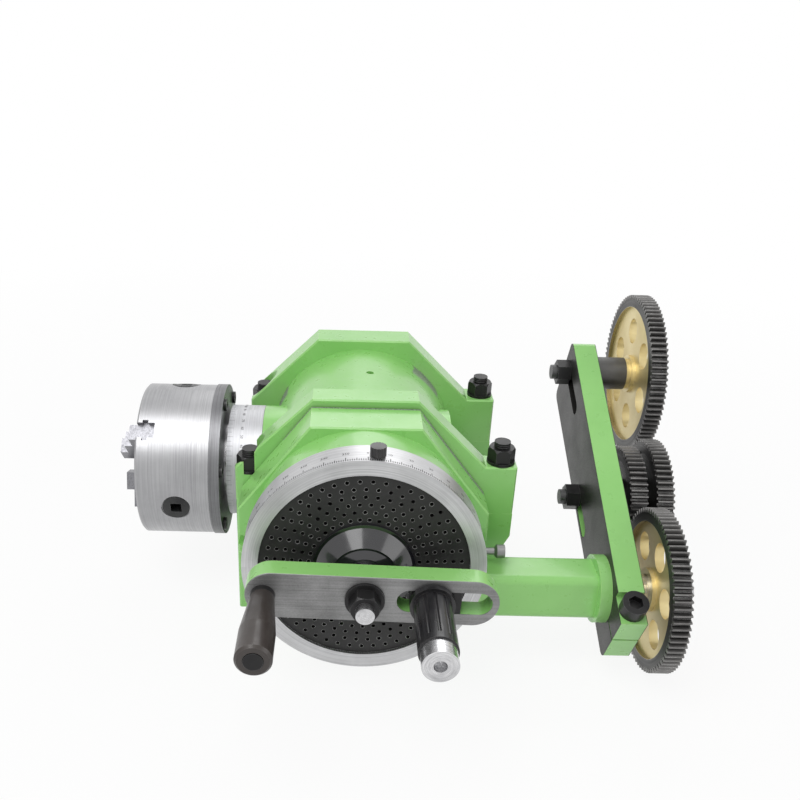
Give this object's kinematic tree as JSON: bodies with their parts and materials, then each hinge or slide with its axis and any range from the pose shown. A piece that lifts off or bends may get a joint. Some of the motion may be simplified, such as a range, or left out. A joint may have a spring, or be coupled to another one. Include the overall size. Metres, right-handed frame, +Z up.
{
  "type": "dividing head",
  "caption": "Tilting dividing head with a three-jaw chuck, crank with a sprung index pin, hole plate with a graduated ring, and change gears on a slotted bracket.",
  "frame": {"origin": "on the underside of the base, straight below the point where the spindle axis and the crank axis cross", "axes": "+Z up; +X along the spindle from the chuck towards the change gears; -Y is the crank side"},
  "size_m": [0.5887, 0.5067, 0.2994],
  "materials": {
    "green_paint": "glossy",
    "black_oxide": "black oxide, slightly oily",
    "bronze": "turned",
    "dark_steel": "dark, machined",
    "ground_steel": "ground and polished",
    "satin_steel": "satin, turned",
    "gloss_black": "glossy black enamel",
    "black_plastic": "smooth, slightly worn",
    "spring_steel": "drawn wire",
    "gear_steel": "machined, lightly oiled"
  },
  "bodies": {
    "base": {"base_casting": "green_paint", "front_clamp_cap": "green_paint", "rear_clamp_cap": "green_paint", "clamp_studs": "black_oxide", "clamp_washers": "black_oxide", "clamp_nuts": "black_oxide"},
    "swivel": {"swivel_housing": "green_paint", "front_cover": "green_paint", "rear_cover": "green_paint", "cover_screws": "black_oxide", "spindle_bushes": "bronze", "drive_bushes": "bronze", "side_shaft_bushes": "bronze", "side_shaft_arm": "green_paint", "banjo_plate": "green_paint", "banjo_clamp_screw": "black_oxide", "gear_studs": "dark_steel", "stud_nuts": "black_oxide"},
    "spindle": {"spindle": "ground_steel", "worm_wheel": "bronze", "wheel_key": "dark_steel", "spindle_nut": "dark_steel", "graduated_collar": "satin_steel", "chuck_backplate": "dark_steel", "chuck_screws": "black_oxide", "chuck_body": "ground_steel"},
    "scroll": {"scroll_plate": "dark_steel"},
    "pinion_1": {"chuck_pinion_1": "dark_steel"},
    "pinion_2": {"chuck_pinion_2": "dark_steel"},
    "pinion_3": {"chuck_pinion_3": "dark_steel"},
    "jaw_1": {"chuck_jaw_1": "ground_steel"},
    "jaw_2": {"chuck_jaw_2": "ground_steel"},
    "jaw_3": {"chuck_jaw_3": "ground_steel"},
    "worm": {"worm_shaft": "ground_steel", "worm_spur_gear": "dark_steel"},
    "crank": {"crank_shaft": "ground_steel", "crank_arm": "green_paint", "crank_washer": "black_oxide", "crank_nut": "black_oxide", "handle_pin": "ground_steel", "plunger_block": "black_oxide", "plunger_spring": "spring_steel"},
    "grip": {"handle_grip": "black_plastic"},
    "plunger": {"index_pin": "ground_steel", "plunger_knob": "gloss_black", "knob_end_sleeve": "ground_steel"},
    "plate": {"index_plate": "black_oxide", "dial_ring": "satin_steel", "plate_hub": "gloss_black"},
    "ring_screw": {"ring_lock_screw": "gloss_black"},
    "plate_lock": {"plate_lock_pin": "dark_steel"},
    "side_shaft": {"side_shaft": "ground_steel", "side_change_gear": "gear_steel", "side_shaft_washer": "black_oxide", "side_shaft_nut": "black_oxide"},
    "mid_gears": {"mid_gear_small": "gear_steel", "mid_gear_large": "gear_steel"},
    "top_gear": {"top_change_gear": "gear_steel"}
  },
  "joints": [
    {"name": "head_tilt", "type": "hinge", "parent": "base", "child": "swivel", "pos_m": [0, 0, 0.132], "axis": [0, 1, 0], "range_deg": [-5, 95]},
    {"name": "crank_turn", "type": "hinge", "parent": "swivel", "child": "crank", "pos_m": [0, -0.2, 0.132], "axis": [0, 1, 0], "continuous": true},
    {"name": "spindle_turn", "type": "hinge", "parent": "swivel", "child": "spindle", "pos_m": [0, 0, 0.132], "axis": [1, 0, 0], "continuous": true},
    {"name": "worm_turn", "type": "hinge", "parent": "swivel", "child": "worm", "pos_m": [0, -0.05, 0.076], "axis": [0, 1, 0], "continuous": true},
    {"name": "scroll_turn", "type": "hinge", "parent": "spindle", "child": "scroll", "pos_m": [-0.2, 0, 0.132], "axis": [1, 0, 0], "range_deg": [-405, 360]},
    {"name": "pinion_1_turn", "type": "hinge", "parent": "spindle", "child": "pinion_1", "pos_m": [-0.19, -0.06333, 0.11738], "axis": [0, -0.9744, -0.225], "range_deg": [-1620, 1440]},
    {"name": "pinion_2_turn", "type": "hinge", "parent": "spindle", "child": "pinion_2", "pos_m": [-0.19, 0.019, 0.19416], "axis": [0, 0.2924, 0.9563], "range_deg": [-1620, 1440]},
    {"name": "pinion_3_turn", "type": "hinge", "parent": "spindle", "child": "pinion_3", "pos_m": [-0.19, 0.04433, 0.08446], "axis": [0, 0.682, -0.7314], "range_deg": [-1620, 1440]},
    {"name": "jaw_1_slide", "type": "slide", "parent": "spindle", "child": "jaw_1", "axis": [0, -0.682, 0.7314], "range_m": [-0.009, 0.008]},
    {"name": "jaw_2_slide", "type": "slide", "parent": "spindle", "child": "jaw_2", "axis": [0, 0.9744, 0.225], "range_m": [-0.009, 0.008]},
    {"name": "jaw_3_slide", "type": "slide", "parent": "spindle", "child": "jaw_3", "axis": [0, -0.2924, -0.9563], "range_m": [-0.009, 0.008]},
    {"name": "grip_spin", "type": "hinge", "parent": "crank", "child": "grip", "pos_m": [-0.08597, -0.3, 0.13425], "axis": [0, 1, 0], "continuous": true},
    {"name": "plunger_pull", "type": "slide", "parent": "crank", "child": "plunger", "axis": [0, -1, 0], "range_m": [0, 0.008], "stiffness_N_per_m": 900, "springref_m": -0.012, "deforming": ["plunger_spring"]},
    {"name": "plate_turn", "type": "hinge", "parent": "swivel", "child": "plate", "pos_m": [0, -0.19, 0.132], "axis": [0, 1, 0], "continuous": true},
    {"name": "ring_screw_turn", "type": "hinge", "parent": "plate", "child": "ring_screw", "pos_m": [0.0085, -0.199, 0.236], "axis": [0, 0, 1], "range_deg": [0, 360]},
    {"name": "lock_pin_slide", "type": "slide", "parent": "swivel", "child": "plate_lock", "axis": [1, 0, 0], "range_m": [0, 0.006]},
    {"name": "side_shaft_turn", "type": "hinge", "parent": "swivel", "child": "side_shaft", "pos_m": [0.2, -0.1562, 0.0813], "axis": [1, 0, 0], "continuous": true},
    {"name": "mid_gears_turn", "type": "hinge", "parent": "swivel", "child": "mid_gears", "pos_m": [0.29, -0.02846, 0.11033], "axis": [1, 0, 0], "continuous": true},
    {"name": "top_gear_turn", "type": "hinge", "parent": "swivel", "child": "top_gear", "pos_m": [0.3, 0.07961, 0.21144], "axis": [1, 0, 0], "continuous": true}
  ],
  "couplings": [
    {"joint": "spindle_turn", "follows": "crank_turn", "ratio": 0.025},
    {"joint": "worm_turn", "follows": "crank_turn", "ratio": -1},
    {"joint": "jaw_1_slide", "follows": "scroll_turn", "m_per_rad": 0.0012732},
    {"joint": "jaw_2_slide", "follows": "scroll_turn", "m_per_rad": 0.0012732},
    {"joint": "jaw_3_slide", "follows": "scroll_turn", "m_per_rad": 0.0012732},
    {"joint": "pinion_1_turn", "follows": "scroll_turn", "ratio": 4},
    {"joint": "pinion_2_turn", "follows": "scroll_turn", "ratio": 4},
    {"joint": "pinion_3_turn", "follows": "scroll_turn", "ratio": 4},
    {"joint": "side_shaft_turn", "follows": "plate_turn", "ratio": 1},
    {"joint": "mid_gears_turn", "follows": "plate_turn", "ratio": -1.4259},
    {"joint": "top_gear_turn", "follows": "plate_turn", "ratio": 1.028}
  ]
}
